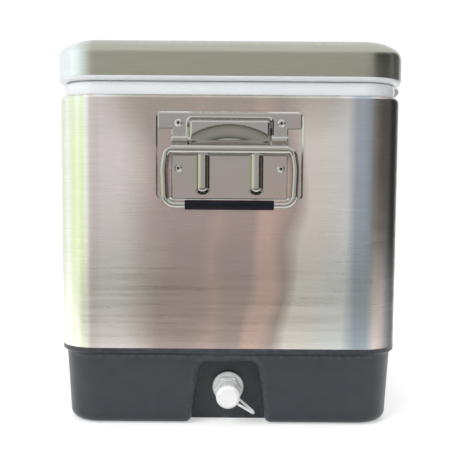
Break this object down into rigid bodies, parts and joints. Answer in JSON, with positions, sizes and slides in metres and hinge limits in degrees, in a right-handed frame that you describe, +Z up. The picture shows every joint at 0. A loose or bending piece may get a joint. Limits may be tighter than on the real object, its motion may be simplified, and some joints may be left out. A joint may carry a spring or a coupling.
{
  "type": "beer cooler box",
  "caption": "Steel-belted insulated cooler with hinged lid, folding bail handles, capped drain, a cold plate inside and lever taps with beer inlets on the far end.",
  "frame": {"origin": "centre of the base's flat underside", "axes": "+Z up, +X to the right as seen from the drain end, with the lid hinges on +X and the latch on -X, -Y the drain end that the picture shows, +Y the tap end"},
  "size_m": [0.435, 0.72, 0.4545],
  "materials": {
    "belt_steel": "satin",
    "lid_steel": "satin",
    "bright_steel": "polished",
    "rivet_steel": "satin",
    "fitting_steel": "satin",
    "base_plastic": "satin",
    "liner_plastic": "gloss",
    "foam": "matte",
    "grip_rubber": "matte",
    "drain_plastic": "satin",
    "seal_rubber": "matte",
    "cast_aluminium": "satin",
    "plated_brass": "polished",
    "lever_steel": "polished",
    "yellow_brass": "satin",
    "knob_plastic": "gloss"
  },
  "bodies": {
    "cooler": {"steel_belt": "belt_steel", "handle_plate_drain_end": "bright_steel", "handle_plate_tap_end": "bright_steel", "handle_rivets": "rivet_steel", "body_rivets": "rivet_steel", "hinge_leaf_body": "fitting_steel", "hinge_pins": "fitting_steel", "latch_bracket": "fitting_steel", "latch_pin": "fitting_steel", "line_in_left": "fitting_steel", "line_in_right": "fitting_steel", "line_out_left": "fitting_steel", "line_out_right": "fitting_steel", "inlet_left": "fitting_steel", "inlet_right": "fitting_steel", "inlet_nuts": "fitting_steel", "base_tub": "base_plastic", "inner_liner": "liner_plastic", "foam_body": "foam", "drain_body": "drain_plastic", "drain_nut": "drain_plastic", "drain_tether": "drain_plastic", "drain_washers": "seal_rubber", "inlet_washers": "seal_rubber", "shank_washers": "seal_rubber", "cold_plate": "cast_aluminium", "faucet_body_left": "plated_brass", "faucet_body_right": "plated_brass", "faucet_bonnet_left": "plated_brass", "faucet_bonnet_right": "plated_brass", "coupling_nuts": "plated_brass", "shank_flanges": "plated_brass", "shank_left": "plated_brass", "shank_right": "plated_brass", "shank_nuts": "plated_brass", "flare_nuts": "yellow_brass", "plate_fittings": "yellow_brass"},
    "lid": {"lid_skin": "lid_steel", "lid_liner": "liner_plastic", "lid_foam": "foam", "lid_rivets": "rivet_steel", "hinge_leaf_lid": "fitting_steel", "latch_keeper": "fitting_steel"},
    "drain_end_bail": {"bail_drain_end": "bright_steel", "bail_grip_drain_end": "grip_rubber"},
    "tap_end_bail": {"bail_tap_end": "bright_steel", "bail_grip_tap_end": "grip_rubber"},
    "left_lever": {"faucet_lever_left": "lever_steel", "tap_knob_left": "knob_plastic"},
    "right_lever": {"faucet_lever_right": "lever_steel", "tap_knob_right": "knob_plastic"},
    "left_plunger": {"faucet_plunger_left": "lever_steel", "seat_washer_left": "seal_rubber"},
    "right_plunger": {"faucet_plunger_right": "lever_steel", "seat_washer_right": "seal_rubber"},
    "cap_ring": {"tether_ring": "drain_plastic"},
    "cap": {"drain_cap": "drain_plastic", "cap_seal": "seal_rubber"},
    "hasp": {"latch_hasp": "fitting_steel"}
  },
  "joints": [
    {"name": "lid_hinge", "type": "hinge", "parent": "cooler", "child": "lid", "pos_m": [0.211, 0, 0.407], "axis": [0, 1, 0], "range_deg": [0, 100]},
    {"name": "drain_end_handle", "type": "hinge", "parent": "cooler", "child": "drain_end_bail", "pos_m": [0, -0.3258, 0.3256], "axis": [-1, 0, 0], "range_deg": [0, 100]},
    {"name": "tap_end_handle", "type": "hinge", "parent": "cooler", "child": "tap_end_bail", "pos_m": [0, 0.3258, 0.3256], "axis": [1, 0, 0], "range_deg": [0, 100]},
    {"name": "left_tap_lever", "type": "hinge", "parent": "cooler", "child": "left_lever", "pos_m": [-0.055, 0.3656, 0.163], "axis": [-1, 0, 0], "range_deg": [0, 28]},
    {"name": "right_tap_lever", "type": "hinge", "parent": "cooler", "child": "right_lever", "pos_m": [0.055, 0.3656, 0.163], "axis": [-1, 0, 0], "range_deg": [0, 28]},
    {"name": "left_tap_plunger", "type": "slide", "parent": "cooler", "child": "left_plunger", "axis": [0, -1, 0], "range_m": [0, 0.0063]},
    {"name": "right_tap_plunger", "type": "slide", "parent": "cooler", "child": "right_plunger", "axis": [0, -1, 0], "range_m": [0, 0.0063]},
    {"name": "cap_travel", "type": "slide", "parent": "cooler", "child": "cap_ring", "axis": [0, -0.9976, -0.0698], "range_m": [0, 0.00727], "deforming": ["drain_tether"]},
    {"name": "cap_turn", "type": "hinge", "parent": "cap_ring", "child": "cap", "pos_m": [0, -0.31373, 0.03779], "axis": [0, -0.9976, -0.0698], "range_deg": [0, 1440]},
    {"name": "latch_swing", "type": "hinge", "parent": "cooler", "child": "hasp", "pos_m": [-0.2095, 0, 0.378], "axis": [0, 1, 0], "range_deg": [0, 175]}
  ],
  "couplings": [
    {"joint": "left_tap_plunger", "follows": "left_tap_lever", "m_per_rad": 0.0128},
    {"joint": "right_tap_plunger", "follows": "right_tap_lever", "m_per_rad": 0.0128},
    {"joint": "cap_travel", "follows": "cap_turn", "m_per_rad": 0.00028871}
  ]
}
